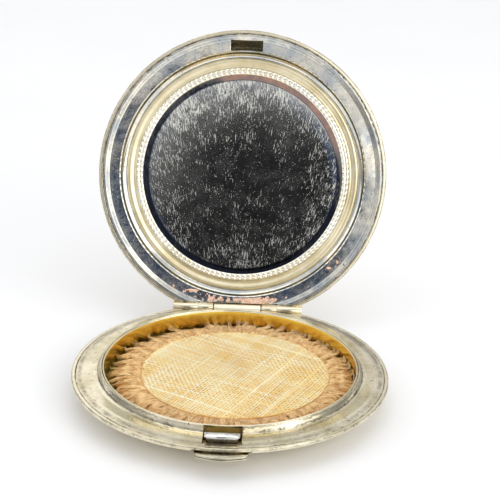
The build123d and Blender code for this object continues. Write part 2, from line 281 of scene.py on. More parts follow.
def cut(obj, *cutters, edge=0.05):
    """Cuts the cutters out of obj, removes them, and breaks the new sharp edges."""
    for cutter in cutters:
        applied(obj, ("BOOLEAN", {"operation": "DIFFERENCE", "solver": "EXACT", "object": cutter}))
        bpy.data.objects.remove(cutter)
    shape = bmesh.new()
    shape.from_mesh(obj.data)
    bmesh.ops.remove_doubles(shape, verts=shape.verts, dist=0.004 * MM)
    bmesh.ops.dissolve_degenerate(shape, edges=shape.edges, dist=0.002 * MM)
    shape.to_mesh(obj.data)
    shape.free()
    return applied(obj, edge_break(edge, segments=2))


def ripple(points, size, seed):
    """Smooth noise from -1 to 1 at points in mm, over features of the given size."""
    offset = Vector((seed * 17.3, seed * 5.1, seed * 9.7))
    return np.array([noise.noise(Vector(p) / size + offset) for p in points])


def dented(obj, depth, size, seed):
    """Presses shallow waves into the metal, along its normals, so that reflections waver."""
    mesh = obj.data
    points = np.zeros(len(mesh.vertices) * 3)
    mesh.vertices.foreach_get("co", points)
    points = points.reshape(-1, 3)
    normals = np.array([v.normal for v in mesh.vertices])
    wave = ripple(points / MM, size, seed) + 0.35 * ripple(points / MM, size / 3, seed + 1)
    mesh.vertices.foreach_set("co", (points + normals * (wave * depth * MM)[:, None]).ravel())
    mesh.update()
    return obj


def finished(obj, body, material, stands_for=(), lid=False, sharp=40):
    """Smooths a piece up to the sharp angle, gives it its material, and makes it ride on its body."""
    obj.data.shade_smooth()
    obj.data.set_sharp_from_angle(angle=math.radians(sharp))
    obj.data.materials.clear()
    obj.data.materials.append(material)
    if lid:
        obj.matrix_world = OPEN_LID
    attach(obj, body)
    if stands_for:
        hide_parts(*stands_for)
    return obj


def joined(name, pieces):
    """One object from several."""
    shape = bmesh.new()
    for piece in pieces:
        shape.from_mesh(piece.data)
        bpy.data.objects.remove(piece)
    mesh = bpy.data.meshes.new(name)
    shape.to_mesh(mesh)
    shape.free()
    obj = bpy.data.objects.new(name, mesh)
    SCENE.collection.objects.link(obj)
    return obj


# ---------------------------------------------------------------- material helpers


def tint(red, green, blue):
    """A display colour, 0 to 255, as linear light."""
    values = [c / 255 for c in (red, green, blue)]
    return (*[c / 12.92 if c <= 0.04045 else ((c + 0.055) / 1.055) ** 2.4 for c in values], 1.0)


class Finish:
    """A material whose nodes are added one by one. Lengths are mm in the piece's own coordinates."""

    def __init__(self, name):
        self.material = bpy.data.materials.new(name)
        self.material.use_nodes = True
        self.tree = self.material.node_tree
        self.shader = self.tree.nodes["Principled BSDF"]
        coordinates = self.node("ShaderNodeTexCoord").outputs["Object"]
        self.place = self.vector("SCALE", coordinates, scale=1 / MM)

    def node(self, kind, **settings):
        node = self.tree.nodes.new(kind)
        for key, value in settings.items():
            setattr(node, key, value)
        return node

    def put(self, socket, value):
        if isinstance(value, bpy.types.NodeSocket):
            self.tree.links.new(value, socket)
        else:
            socket.default_value = value

    def math(self, operation, a, b=0.0, clamp=False):
        node = self.node("ShaderNodeMath", operation=operation, use_clamp=clamp)
        self.put(node.inputs[0], a)
        self.put(node.inputs[1], b)
        return node.outputs[0]

    def times(self, a, b):
        return self.math("MULTIPLY", a, b)

    def plus(self, a, b, clamp=False):
        return self.math("ADD", a, b, clamp)

    def minus(self, a, b):
        return self.math("SUBTRACT", a, b)

    def most(self, a, b):
        return self.math("MAXIMUM", a, b)

    def vector(self, operation, a, b=(0, 0, 0), scale=1.0):
        node = self.node("ShaderNodeVectorMath", operation=operation)
        self.put(node.inputs[0], a)
        if operation == "SCALE":
            self.put(node.inputs["Scale"], scale)
        else:
            self.put(node.inputs[1], b)
        return node.outputs["Value" if operation == "LENGTH" else "Vector"]

    def stretched(self, stretch=(1, 1, 1), turn=(0, 0, 0), place=None):
        node = self.node("ShaderNodeMapping")
        self.put(node.inputs["Vector"], place or self.place)
        node.inputs["Scale"].default_value = stretch
        node.inputs["Rotation"].default_value = [math.radians(a) for a in turn]
        return node.outputs["Vector"]

    def noise(self, size, detail=3.0, rough=0.55, place=None, distortion=0.0):
        node = self.node("ShaderNodeTexNoise")
        self.put(node.inputs["Vector"], place or self.place)
        node.inputs["Scale"].default_value = 1 / size
        node.inputs["Detail"].default_value = detail
        node.inputs["Roughness"].default_value = rough
        node.inputs["Distortion"].default_value = distortion
        return node.outputs["Fac"]

    def steps(self, factor, low, high, out_low=0.0, out_high=1.0):
        """A smooth step of factor from low to high."""
        node = self.node("ShaderNodeMapRange", interpolation_type="SMOOTHSTEP")
        values = (factor, low, high, out_low, out_high)
        for key, value in zip(("Value", "From Min", "From Max", "To Min", "To Max"), values):
            self.put(node.inputs[key], value)
        return node.outputs["Result"]

    def mix(self, factor, a, b):
        node = self.node("ShaderNodeMix", data_type="RGBA")
        self.put(node.inputs["Factor"], factor)
        self.put(node.inputs[6], a)
        self.put(node.inputs[7], b)
        return node.outputs[2]

    def bump(self, height, strength, distance):
        node = self.node("ShaderNodeBump")
        node.inputs["Strength"].default_value = strength
        node.inputs["Distance"].default_value = distance * MM
        self.put(node.inputs["Height"], height)
        return node.outputs["Normal"]

    def split(self):
        """The x, y and z of a position, in mm."""
        node = self.node("ShaderNodeSeparateXYZ")
        self.put(node.inputs[0], self.place)
        return node.outputs

    def radius(self):
        """Distance from the case's axis, in mm."""
        return self.vector("LENGTH", self.vector("MULTIPLY", self.place, (1, 1, 0)))

    def near(self, value, centre, half):
        """1 where value is at centre, 0 at half away."""
        away = self.math("ABSOLUTE", self.minus(value, centre))
        return self.steps(away, 0.0, half, 1.0, 0.0)

    def finish(self, **inputs):
        for key, value in inputs.items():
            self.put(self.shader.inputs[key.replace("_", " ").title()], value)
        return self.material


def metal(name, light, deep, dirt_and_shade_colour, base_rough, seam_and_shade_rings=(), spots=0.5, grain=0.5, shade_foot=None, lip=None,
          stain=None, dust=0.0):
    """Worn polished metal: soft tarnish clouds, grime and painted shade in rings, rare pits, fine
    scratches.

    A ring is (radius, half width, weight, patch size): some rings are grime in joins, some are painted
    shade. Below the shade_foot height the metal darkens as painted shade, and above the lip's height the
    gilding gives way to cream, which is worn gilding with a painted highlight along the lip. Beyond the
    stain's radius it is brown and dull.
    """
    m = Finish(name)
    cloud = m.noise(8.0, 4, 0.6)
    mottle = m.noise(1.1, 4, 0.62)
    fine = m.noise(0.2, 2, 0.55)
    colour = m.mix(m.steps(cloud, 0.36, 0.70, 0.0, 0.75), light, deep)
    colour = m.mix(m.times(m.steps(mottle, 0.46, 0.72), 0.55 * grain), colour, deep)
    pits = m.steps(m.noise(0.55, 2, 0.5), 0.775 - 0.05 * spots, 0.81 - 0.05 * spots)
    specks = m.steps(m.noise(1.7, 4, 0.75), 0.745 - 0.04 * spots, 0.80 - 0.04 * spots)
    dirt_and_shade = m.most(m.times(pits, 0.9), m.times(specks, 0.55))
    radius = m.radius()
    height = m.split()["Z"]
    low, high = INNER_SIDE_Z
    inner_side = m.times(m.steps(height, low, low + 0.2), m.steps(height, high - 0.2, high, 1.0, 0.0))
    # Each ring darkens a patchy band round the axis; some stand for grime in joins, some are painted
    # shade.
    for at, half, weight, size in seam_and_shade_rings:
        ragged = m.plus(radius, m.steps(m.noise(0.9, 3, 0.7), 0.25, 0.75, -0.13, 0.13))
        line = m.times(m.near(ragged, at, half), inner_side)
        patchy = m.steps(m.noise(size, 4, 0.65), 0.36, 0.6, 0.12, 1.0)
        line = m.times(m.times(line, patchy), weight)
        dirt_and_shade = m.most(dirt_and_shade, line)
    # Painted shade: darker towards the bottom, below shade_foot.
    if shade_foot:
        dirt_and_shade = m.most(dirt_and_shade, m.steps(height, shade_foot, shade_foot + 1.3, 0.85, 0.0))
    # Cream above the lip: worn gilding, and a painted highlight along the lip's edge.
    if lip:
        colour = m.mix(m.steps(height, lip - 0.06, lip + 0.02), colour, CREAM)
    # The dark colour goes where there are pits, specks and grimy joins, and where shade is painted.
    colour = m.mix(dirt_and_shade, colour, dirt_and_shade_colour)
    metallic = 1.0
    if stain:
        beyond = m.steps(radius, stain - 0.05, stain + 0.05)
        brown = m.times(beyond, m.steps(mottle, 0.3, 0.7, 0.95, 0.6))
        colour = m.mix(brown, colour, STAIN)
        metallic = m.minus(1.0, m.times(brown, 0.75))
    if dust:
        flecks = m.steps(m.noise(0.34, 1, 0.5), 0.68, 0.73)
        flecks = m.times(m.times(flecks, m.steps(m.noise(3.5, 3, 0.6), 0.4, 0.6)), dust)
        colour = m.mix(flecks, colour, tint(236, 232, 218))
        metallic = m.minus(metallic, flecks)
    scratch_a = m.noise(0.5, 3, 0.6, m.stretched((6.0, 0.25, 1.0), (0, 0, 28)))
    scratch_b = m.noise(0.5, 3, 0.6, m.stretched((0.25, 5.0, 1.0), (0, 0, -17)))
    scratches = m.plus(m.steps(scratch_a, 0.60, 0.75), m.steps(scratch_b, 0.60, 0.78))
    rough = m.steps(mottle, 0.35, 0.75, base_rough, base_rough + 0.14 * grain)
    rough = m.plus(rough, m.times(scratches, 0.06))
    rough = m.plus(rough, m.steps(fine, 0.5, 0.7, 0.0, 0.10 * grain))
    rough = m.plus(rough, m.times(dirt_and_shade, 0.4), clamp=True)
    relief = m.plus(m.times(fine, 0.12 * grain), m.times(mottle, 0.5 * grain))
    relief = m.minus(relief, m.times(dirt_and_shade, 0.8))
    relief = m.minus(relief, m.times(scratches, 0.08))
    normal = m.bump(relief, 0.3, 0.03)
    return m.finish(base_color=colour, metallic=metallic, roughness=rough, normal=normal)


CREAM = tint(238, 229, 203)
BEIGE = tint(224, 213, 183)
OLIVE = tint(198, 186, 148)
SILVER_GREY = tint(240, 234, 217)
SILVER_DEEP = tint(172, 184, 194)
# Dark colours for grime in pits, specks and joins, which also serve as painted shade.
DIRT_AND_SHADE = tint(58, 50, 38)
GILT = tint(255, 238, 134)
GILT_DEEP = tint(236, 198, 84)
CHAMPAGNE = tint(246, 235, 202)
CHAMPAGNE_DEEP = tint(214, 197, 150)
GILT_DIRT_AND_SHADE = tint(70, 52, 22)
STAIN = tint(150, 122, 96)


def metal_finishes():
    """All the metal finishes, by name."""
    rim_seams = ((FRAME_R + 0.07, 0.26, 0.7, 2.2), (CASE_R - 0.1, 0.22, 0.6, 3.0))
    # Base rings: grime at the frame's edge; a dark line at 29.2, where the collar meets the flange; a
    # darker band at 33.2 on the flange's outer slope; at 28.75, wide patches on the collar wall, a painted
    # dark reflection.
    base_seam_and_shade_rings = (rim_seams[0], (33.2, 0.8, 0.5, 3.0), (29.2, 0.28, 0.8, 3.0), (28.75, 0.22, 0.6, 15.0))
    # Lid rings: grime in the join at the frame's edge; at 29.5 a painted shadow where the flange steps
    # down into the recess; at 32.95 a darker band on the bevel.
    lid_seam_and_shade_rings = ((FRAME_R, 0.34, 1.0, 2.0), (32.95, 0.5, 0.35, 4.0), (29.5, 0.30, 0.7, 2.2))
    return {
        "case": metal("worn_silver_case", CREAM, BEIGE, DIRT_AND_SHADE, 0.12, rim_seams, 0.4, 0.3),
        "base": metal("worn_silver_frame", CREAM, OLIVE, DIRT_AND_SHADE, 0.10, base_seam_and_shade_rings, 1.9, 0.4),
        "lid": metal(
            "mottled_silver_flange", SILVER_GREY, SILVER_DEEP, DIRT_AND_SHADE, 0.045, lid_seam_and_shade_rings, 1.5, 0.7, dust=0.8,
        ),
        "hinge": metal("worn_silver_hinge", CREAM, BEIGE, DIRT_AND_SHADE, 0.13, (), 0.6, 0.4),
        "thumb": metal(
            "worn_silver_tab", tint(218, 211, 190), tint(176, 168, 144), DIRT_AND_SHADE, 0.14, spots=0.6,
        ),
        "catch": metal(
            "rubbed_silver_catch", tint(242, 240, 234), tint(174, 172, 166), DIRT_AND_SHADE, 0.12, (), 1.1, 1.0,
        ),
        # Painted shade: the well darkens below WELL_TOP - 4.8. Above WELL_TOP - 0.1 the lip is cream, worn
        # gilding with a painted highlight.
        "well": metal(
            "gilt_well", GILT, GILT_DEEP, GILT_DIRT_AND_SHADE, 0.20, (), 0.3, 0.4, WELL_TOP - 4.8, WELL_TOP - 0.1,
            stain=WELL_R + PLATE,
        ),
        "moulding": metal("gilt_moulding", CHAMPAGNE, CHAMPAGNE_DEEP, GILT_DIRT_AND_SHADE, 0.30, (), 0.5, 0.3),
        "bezel": metal(
            "gilt_bezel", tint(252, 249, 236), tint(236, 228, 200), GILT_DIRT_AND_SHADE, 0.12, (), 0.1, 0.2,
        ),
        "slide": metal("stained_slide", tint(196, 166, 136), tint(132, 104, 80), DIRT_AND_SHADE, 0.35, (), 1.0, 0.9),
        "tin": metal("plain_tin", tint(200, 196, 186), tint(160, 154, 142), DIRT_AND_SHADE, 0.3),
        "steel": metal("spring_steel", tint(150, 150, 152), tint(110, 110, 112), DIRT_AND_SHADE, 0.28),
    }


def mirror_finish():
    """Old silvered glass under fine smears that fan out from the hinge, thick at one side of the edge."""
    m = Finish("smeared_mirror")
    x, y, _ = m.split()
    fan = m.node("ShaderNodeCombineXYZ")
    m.put(fan.inputs[0], m.math("DIVIDE", x, m.plus(1.0, m.times(y, -1 / 75))))
    m.put(fan.inputs[1], y)
    leaning = fan.outputs[0]
    radius = m.radius()
    strokes = m.noise(0.16, 3, 0.6, m.stretched((1.0, 0.06, 1.0), (0, 0, -4), leaning), 0.25)
    cross = m.noise(0.13, 2, 0.6, m.stretched((1.0, 0.12, 1.0), (0, 0, 6), leaning), 0.25)
    patches = m.steps(m.noise(5.0, 4, 0.62), 0.34, 0.66)
    side = m.plus(m.times(x, -0.45), m.times(y, -0.85))
    heavy = m.times(m.steps(side, -8.0, 22.0), m.steps(radius, 6.0, 21.0))
    thin_edge = m.steps(radius, 14.0, 21.0)
    lift = m.plus(m.times(patches, 0.09), m.times(heavy, 0.062))
    level = m.minus(0.70, m.plus(lift, m.times(thin_edge, 0.045)))
    film = m.steps(m.minus(strokes, level), 0.0, 0.075)
    crossing = m.steps(m.minus(cross, level), 0.01, 0.10)
    film = m.most(film, m.times(crossing, 0.8))
    flecks = m.steps(m.noise(0.3, 1, 0.5), 0.74, 0.79)
    film = m.most(m.times(film, 0.92), m.times(flecks, 0.8))
    haze = m.times(m.steps(m.noise(3.0, 4, 0.7), 0.40, 0.75), 0.05)
    haze = m.plus(haze, m.times(heavy, 0.16))
    on_flat = m.steps(radius, MIRROR_FLAT_R - 0.4, MIRROR_FLAT_R + 0.1, 1.0, 0.15)
    film = m.times(m.plus(film, haze, clamp=True), on_flat)
    glass = m.mix(m.steps(m.noise(9.0, 2, 0.5), 0.4, 0.7), tint(230, 230, 226), tint(208, 208, 204))
    on_bevel = m.steps(radius, MIRROR_FLAT_R - 0.1, MIRROR_FLAT_R + 0.1)
    glass = m.mix(on_bevel, glass, tint(116, 114, 114))
    colour = m.mix(film, glass, tint(216, 217, 208))
    # Painted reflection: a brown band on one side of the bevel, put into the glass as dull, less metallic
    # colour.
    across = m.plus(m.times(x, 0.5), m.times(y, -0.87))
    painted_reflection_band = m.times(m.steps(across, 15.0, 19.0), m.steps(radius, MIRROR_FLAT_R, MIRROR_FLAT_R + 0.25))
    painted_reflection_colour = m.mix(m.steps(m.noise(1.5, 3, 0.6), 0.4, 0.65), tint(132, 110, 104), tint(158, 124, 106))
    colour = m.mix(painted_reflection_band, colour, painted_reflection_colour)
    film = m.most(film, m.times(painted_reflection_band, 0.95))
    metallic = m.minus(1.0, m.times(film, 0.9))
    rough = m.plus(0.03, m.times(film, 0.5))
    normal = m.bump(film, 0.2, 0.02)
    return m.finish(base_color=colour, metallic=metallic, roughness=rough, normal=normal)


def fleece_finish(name, light, deep):
    m = Finish(name)
    tone = m.noise(1.6, 3, 0.6)
    fibre = m.noise(0.22, 2, 0.6)
    colour = m.mix(m.steps(tone, 0.35, 0.65), deep, light)
    colour = m.mix(m.times(m.steps(fibre, 0.4, 0.7), 0.4), colour, light)
    m.shader.inputs["Sheen Weight"].default_value = 0.35
    m.shader.inputs["Sheen Roughness"].default_value = 0.5
    rough = m.steps(fibre, 0.3, 0.7, 0.75, 0.95)
    return m.finish(base_color=colour, roughness=rough, normal=m.bump(fibre, 0.4, 0.08))


def cloth_finish(name, light, deep, glow, lean=None):
    """Silky golden thread, with stained patches. Threads that run at the lean, in degrees, differ."""
    m = Finish(name)
    stain = m.noise(7.5, 3, 0.55)
    slub = m.noise(0.7, 3, 0.6)
    fine = m.noise(0.12, 2, 0.5)
    colour = m.mix(m.steps(stain, 0.40, 0.68), light, deep)
    colour = m.mix(m.times(m.steps(slub, 0.42, 0.7), 0.5), colour, glow)
    if lean is not None:
        turned = m.stretched(turn=(0, 0, -lean))
        strand = m.noise(0.9, 2, 0.6, m.stretched((0.03, 1.0, 1.0), place=turned))
        colour = m.mix(m.steps(strand, 0.34, 0.48, 0.7, 0.0), colour, deep)
        colour = m.mix(m.steps(strand, 0.52, 0.64, 0.0, 0.9), colour, glow)
    rough = m.steps(slub, 0.3, 0.7, 0.42, 0.62)
    m.shader.inputs["Sheen Weight"].default_value = 0.25
    m.shader.inputs["Sheen Roughness"].default_value = 0.4
    return m.finish(base_color=colour, roughness=rough, normal=m.bump(fine, 0.3, 0.03))


def powder_finish(name, light, deep):
    m = Finish(name)
    clot = m.noise(0.5, 4, 0.7)
    grain = m.noise(0.07, 2, 0.6)
    colour = m.mix(m.steps(clot, 0.35, 0.68), deep, light)
    colour = m.mix(m.times(m.steps(grain, 0.4, 0.7), 0.3), colour, light)
    relief = m.plus(clot, m.times(grain, 0.5))
    rough = m.steps(clot, 0.3, 0.7, 0.8, 0.95)
    return m.finish(base_color=colour, roughness=rough, normal=m.bump(relief, 0.5, 0.08))


def card_finish():
    m = Finish("grey_card")
    pulp = m.noise(0.6, 4, 0.7, m.stretched((1, 0.3, 1)))
    colour = m.mix(m.steps(pulp, 0.35, 0.7), tint(126, 110, 92), tint(150, 134, 112))
    rough = m.steps(pulp, 0.3, 0.7, 0.8, 0.95)
    return m.finish(base_color=colour, roughness=rough, normal=m.bump(pulp, 0.3, 0.05))


METALS = metal_finishes()


# ---------------------------------------------------------------- reliefs for turned pieces


def window(value, low, high, soft):
    """1 between low and high, easing to 0 over soft."""
    rise = np.clip((value - low) / soft + 0.5, 0, 1)
    fall = np.clip((high - value) / soft + 0.5, 0, 1)
    rise, fall = rise * rise * (3 - 2 * rise), fall * fall * (3 - 2 * fall)
    return rise * fall


def wander(angle, seed):
    """A ragged closed curve of the angle, from about -1 to 1."""
    rng = np.random.default_rng(seed)
    total = np.zeros_like(angle)
    for count, weight in ((3, 1.0), (7, 0.6), (17, 0.4), (41, 0.3), (97, 0.25)):
        total += weight * np.sin(count * angle + rng.uniform(0, TAU))
    return total / 1.6


def milled(low, high, depth, soft, top):
    """Fine notches across the ring between two radii, on the side that lies below top."""

    def relief(r, z, angle):
        notch = 0.5 - 0.5 * np.cos(TEETH * angle)
        size = window(r, low, high, soft) * depth * notch ** 1.5
        return np.zeros_like(r), size * (z < top)

    return relief


def ragged_edge(at, depth, seed):
    """Small chips along the frame's outer edge, where it meets the rolled rim."""

    def relief(r, z, angle):
        chip = np.clip(wander(angle, seed), 0, 1) ** 1.5
        return -depth * chip * window(r, at - 0.12, at + 0.5, 0.1), np.zeros_like(z)

    return relief


def both(*reliefs):
    def relief(r, z, angle):
        changes = [one(r, z, angle) for one in reliefs]
        return sum(c[0] for c in changes), sum(c[1] for c in changes)

    return relief


def sunburst(r, z, angle):
    """Fine engine-turned rays with a slow wave on the lid's outside, round a plain centre."""
    rays = 0.5 + 0.5 * np.cos(64 * angle + 2.2 * np.sin(r * TAU / 9.0))
    outside = (z > LID_TOP - 0.12) & (r < 26)
    size = window(r, 5.5, 24.5, 0.5) * outside
    grooves = window(r, 24.9, 25.3, 0.2) + window(r, 4.8, 5.2, 0.2)
    return np.zeros_like(r), -0.08 * rays * size - 0.08 * grooves * outside


# ---------------------------------------------------------------- cutters


def hinge_relief(sign):
    """The room that the knuckles turn in: -1 in the base and +1 in the lid."""
    slope = OPEN_TURN / 2 + math.radians(0.8)
    drop, reach = 1.3, 8.0
    corners = [
        (RELIEF_FRONT, HINGE.z - sign * reach),
        (RELIEF_FRONT, HINGE.z + sign * drop),
        (HINGE.y + drop / math.tan(slope), HINGE.z + sign * drop),
        (HINGE.y + reach, HINGE.z + sign * reach * math.tan(slope)),
        (HINGE.y + reach, HINGE.z - sign * reach),
    ]
    return prism("relief", corners, -RELIEF_HALF, RELIEF_HALF)


# ---------------------------------------------------------------- turned pieces


def rolled_rim(height):
    """The thick rolled rim, from its inner edge over to its outside."""
    outline = [(RIM_INNER_R, height - 0.05)]
    outline += bow((RIM_INNER_R + 0.08, height), (CASE_R - 0.4, height), (CASE_R - 0.28, height - 0.02), 3)
    return outline + arc((CASE_R - 0.28, height - 0.28), 0.28, 80, 0, 5)


def saucer_outline():
    """The base's shell: a flat, a bend, a side that slopes out to the rim, and the frame's ledge."""
    edge_z, slope, bend_r = BASE_RIM - 0.8, math.radians(28.5), 5.0
    foot_r = CASE_R - edge_z / math.tan(slope)
    flat_r = foot_r - bend_r * math.tan(slope / 2)
    ledge = BASE_RIM - LEDGE_DROP
    outline = [(0, SHEET)]
    outline += arc((flat_r, bend_r), bend_r - SHEET, -90, math.degrees(slope) - 90, 8)
    outline += [(LEDGE_R, (LEDGE_R - foot_r) * math.tan(slope) + SHEET / math.cos(slope))]
    outline += [(LEDGE_R, ledge), (RIM_INNER_R, ledge)]
    outline += rolled_rim(BASE_RIM) + [(CASE_R, edge_z)]
    outline += arc((flat_r, bend_r), bend_r, math.degrees(slope) - 90, -90, 10)
    return outline + [(0, 0)]


def bowl_outline():
    """The lid's shell, standing on its crowned flat: a rounded corner, the rim and the frame's ledge."""
    height, flat_r, side_z, crown = LID_TOP - LID_RIM, 27.0, 4.0, 0.3
    ledge = height - LEDGE_DROP
    corner = ((CASE_R - flat_r) ** 2 + side_z**2) / (2 * side_z)
    lean = math.degrees(math.asin((CASE_R - flat_r) / corner))
    inner_lean = math.degrees(math.asin((RIM_INNER_R - flat_r) / (corner - SHEET)))
    outline = [(0, SHEET - crown)]
    outline += arc((flat_r, corner), corner - SHEET, -90, inner_lean - 90, 12)
    outline += [(RIM_INNER_R, ledge - 0.4), (LEDGE_R, ledge - 0.4), (LEDGE_R, ledge), (RIM_INNER_R, ledge)]
    outline += rolled_rim(height)
    outline += arc((flat_r, corner), corner, lean - 90, -90, 14)
    return outline + [(0, -crown)]


def base_case():
    def turned_rings(r, z, angle):
        grooves = sum(window(r, at, at + 0.25, 0.15) for at in (8.0, 22.6, 23.3))
        return np.zeros_like(r), 0.05 * grooves * (z < 0.2)

    shell = spun("base_case", saucer_outline(), turned_rings)
    tab_window = box_of("window", (-6.0, 6.0), (THUMB_LOW.y, -31.8), (4.2, 5.45))
    cut(shell, tab_window, hinge_relief(-1))
    dented(shell, 0.02, 9.0, 3)
    return finished(shell, "base", METALS["case"], ["base_shell"])


def base_flange():
    top, under = BASE_FLANGE, BASE_FLANGE - PLATE
    outline = [(28.3, 7.5), (28.78, top + 0.15), (28.9, under), (32.2, under)]
    edge_r = FRAME_R + 0.09
    outline += [(edge_r, BASE_RIM - LEDGE_DROP), (edge_r, BASE_RIM - 0.03), (32.1, top), (29.62, top)]
    outline += bow((29.55, top + 0.01), (29.3, top + 0.07), (29.19, top + 0.24), 4)
    outline += [(28.72, 7.5)]
    outline += arc((28.51, 7.47), 0.21, 10, 170, 6)
    ring = spun("base_flange", outline, ragged_edge(FRAME_R, 0.16, 5), segments=720, longest=0.7)
    notch = box_of("notch", (-NOTCH_HALF, NOTCH_HALF), (-32.9, -28.25), (4.0, 9.0))
    cut(ring, notch, hinge_relief(-1))
    dented(ring, 0.022, 6.0, 11)
    return finished(ring, "base", METALS["base"], ["base_frame"])


def well():
    """The gilt cup: a round hollow for the powder, a shelf for the puff, the wall and its lip."""
    low, outer, step, shelf = LINER_LOW.z, WELL_R + PLATE, 23.2, 2.2
    outline = [(0, low + PLATE)]
    outline += arc((step - 1.0, low + 1.0), 0.6, -90, 0, 5)
    outline += [(step - PLATE, shelf + PLATE)]
    outline += arc((outer - 1.0, shelf + 1.0), 0.6, -90, 0, 6)
    outline += arc((outer - 0.2, WELL_TOP - 0.2), 0.2, 180, 0, 6)
    outline += arc((outer - 1.0, shelf + 1.0), 1.0, 0, -90, 6)
    outline += [(step, shelf)]
    outline += arc((step - 1.0, low + 1.0), 1.0, 0, -90, 5)
    outline += [(0, low)]
    cup = spun("gilt_well", outline, longest=0.8)
    dented(cup, 0.03, 7.0, 21)
    return finished(cup, "base", METALS["well"], ["well_liner"])


def lid_case():
    outline = [(r, LID_TOP - z) for r, z in bowl_outline()]
    shell = spun("lid_case", outline, sunburst, segments=768, longest=0.6)
    cut(shell, hinge_relief(1))
    dented(shell, 0.018, 9.0, 7)
    return finished(shell, "lid", METALS["case"], ["lid_shell"], lid=True)


def lid_flange():
    face, back, floor = LID_FLANGE, LID_FLANGE + PLATE, LID_FLANGE + 2.05
    bevel_in, bevel_out, lip = 32.4, 33.45, LID_RIM + 0.03
    outline = [(29.98, face), (29.74, face + 0.13), (29.69, face + 0.36), (29.45, floor - 0.55)]
    outline += bow((29.42, floor - 0.5), (29.05, floor - 0.22), (28.6, floor - 0.02), 6)
    outline += [(26.4, floor), (26.4, floor + PLATE), (29.4, floor + PLATE), (29.85, floor), (30.1, back)]
    outline += [(bevel_in + 0.05, back), (bevel_out - 0.05, lip + 0.4), (FRAME_R + 0.06, lip + 0.4)]
    outline += [(FRAME_R + 0.06, lip), (bevel_out, lip), (bevel_in, face)]
    relief = both(milled(29.70, 29.92, 0.10, 0.06, face + 0.3), ragged_edge(FRAME_R, 0.16, 9))
    ring = spun("lid_flange", outline, relief, segments=TEETH * 8, ease=0.03, longest=0.9)
    slot = box_of("slot", (-SLOT_HALF, SLOT_HALF), (-32.5, -29.9), (face - 1, back + 0.02))
    cut(ring, slot, hinge_relief(1))
    dented(ring, 0.02, 5.0, 13)
    return finished(ring, "lid", METALS["lid"], ["lid_frame"], lid=True)


def mirror_moulding():
    top, back = LID_FLANGE + 1.38, LID_FLANGE + 2.05
    outline = bow((28.45, 8.2), (27.8, top), (27.05, 8.04), 14)
    outline += bow((27.05, 8.04), (26.6, 8.19), (26.2, 8.02), 8)[1:]
    outline += [(26.05, 7.9), (26.05, back), (28.45, back)]
    ring = spun("mirror_moulding", outline)
    dented(ring, 0.012, 4.0, 17)
    return finished(ring, "lid", METALS["moulding"], ["mirror_frame"], lid=True)


def milled_bezel():
    """The ring that grips the mirror: a milled outer bead and a finer one over the glass."""
    outline = bow((BEZEL_R, 7.95), (25.62, 7.68), (25.22, 7.86), 10)
    outline += bow((25.22, 7.86), (24.85, 7.74), (24.5, 7.9), 8)[1:]
    outline += [(24.38, 8.02), (24.6, 8.3), (25.65, 8.37), (25.65, MIRROR_BACK), (BEZEL_R, MIRROR_BACK)]
    relief = both(milled(25.35, 25.9, 0.09, 0.12, 8.1), milled(24.55, 25.1, 0.14, 0.10, 8.0))
    ring = spun("milled_bezel", outline, relief, segments=TEETH * 10, ease=0.03, longest=0.15)
    return finished(ring, "lid", METALS["bezel"], ["mirror_bezel"], lid=True)


def mirror():
    face, bevel, back = 8.0, 8.055, MIRROR_BACK
    outline = [(0, face), (MIRROR_FLAT_R, face), (MIRROR_R, bevel), (MIRROR_R, back), (0, back)]
    glass = spun("mirror", outline, ease=0.05, longest=3.0)
    dented(glass, 0.002, 20.0, 29)
    return finished(glass, "lid", mirror_finish(), ["mirror_glass"], lid=True, sharp=5)


# ---------------------------------------------------------------- hinge and latch


def barrel_arc(start, end):
    """Points on the barrel, by angles in degrees from +y towards +z."""
    return arc((HINGE.y, HINGE.z), KNUCKLE_R, start, end, 24)


def bored(obj, low, high):
    """Drills the pin's bore and breaks the barrel's ends."""
    bore = prism("bore", arc((HINGE.y, HINGE.z), BORE_R, 0, 345, 23), low - 1, high + 1)
    return cut(obj, bore, edge=0.06)


def knuckles():
    front, z = RELIEF_FRONT, HINGE.z
    middle = [(front, z - 0.7), (front, BASE_FLANGE)] + barrel_arc(118, -140)
    half = CENTRE_HALF - 0.08
    knuckle = bored(prism("hinge_knuckle_middle", middle, -half, half), -half, half)
    finished(knuckle, "base", METALS["hinge"], ["hinge_knuckle_base"])
    web = [(front, z + 0.95), (front, LID_FLANGE)] + barrel_arc(165, 480)
    blend = [(front, z + 0.95), (front, LID_FLANGE)] + barrel_arc(238, 480)
    inner = CENTRE_HALF + 0.16
    for side, name in ((-1, "left"), (1, "right")):
        spans = ((blend, inner, BLEND_HALF), (web, BLEND_HALF, HINGE_HALF))
        parts = []
        for outline, start, end in spans:
            low, high = sorted((side * start, side * end))
            parts.append(bored(prism("part", outline, low, high), low, high))
        knuckle = joined(f"hinge_knuckle_{name}", parts)
        finished(knuckle, "lid", METALS["hinge"], [f"hinge_knuckle_lid_{name}"], lid=True)


